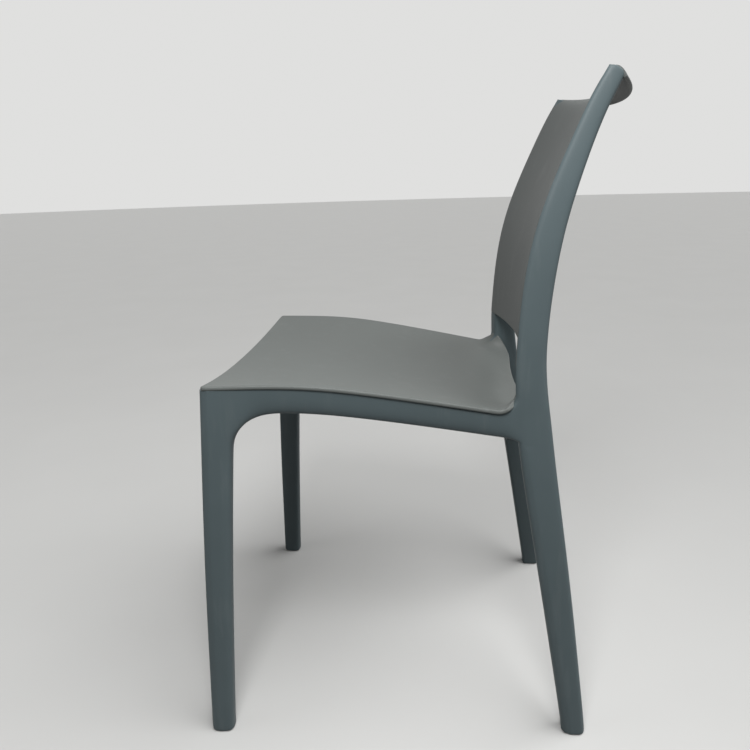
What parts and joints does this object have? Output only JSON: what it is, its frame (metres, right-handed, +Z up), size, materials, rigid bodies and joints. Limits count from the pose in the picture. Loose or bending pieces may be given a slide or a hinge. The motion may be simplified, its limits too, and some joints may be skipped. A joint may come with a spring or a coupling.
{
  "type": "plastic side chair",
  "caption": "Moulded plastic side chair with a dished seat, splayed legs and a hollow back that rolls over into a hand grip.",
  "frame": {"origin": "on the floor, under the middle of the chair's outer size", "axes": "+Z up, the chair faces -Y, +X is the sitter's left"},
  "size_m": [0.4642, 0.535, 0.81],
  "materials": {
    "seat_shell": "fine grained matt slate grey",
    "back_shell": "fine grained matt slate grey",
    "frame_shell": "fine grained matt slate grey",
    "glide": "smooth dark grey"
  },
  "bodies": {
    "root": {"back_panel": "back_shell", "front_cross_rail": "frame_shell", "front_leg_left": "frame_shell", "front_leg_right": "frame_shell", "glide_front_left": "glide", "glide_front_right": "glide", "glide_rear_left": "glide", "glide_rear_right": "glide", "rear_cross_rail": "frame_shell", "rear_leg_left": "frame_shell", "rear_leg_right": "frame_shell", "seat_panel": "seat_shell", "seat_rib_left": "frame_shell", "seat_rib_middle": "frame_shell", "seat_rib_right": "frame_shell", "side_rail_left": "frame_shell", "side_rail_right": "frame_shell", "top_rail": "back_shell", "upright_left": "frame_shell", "upright_right": "frame_shell"}
  },
  "joints": []
}
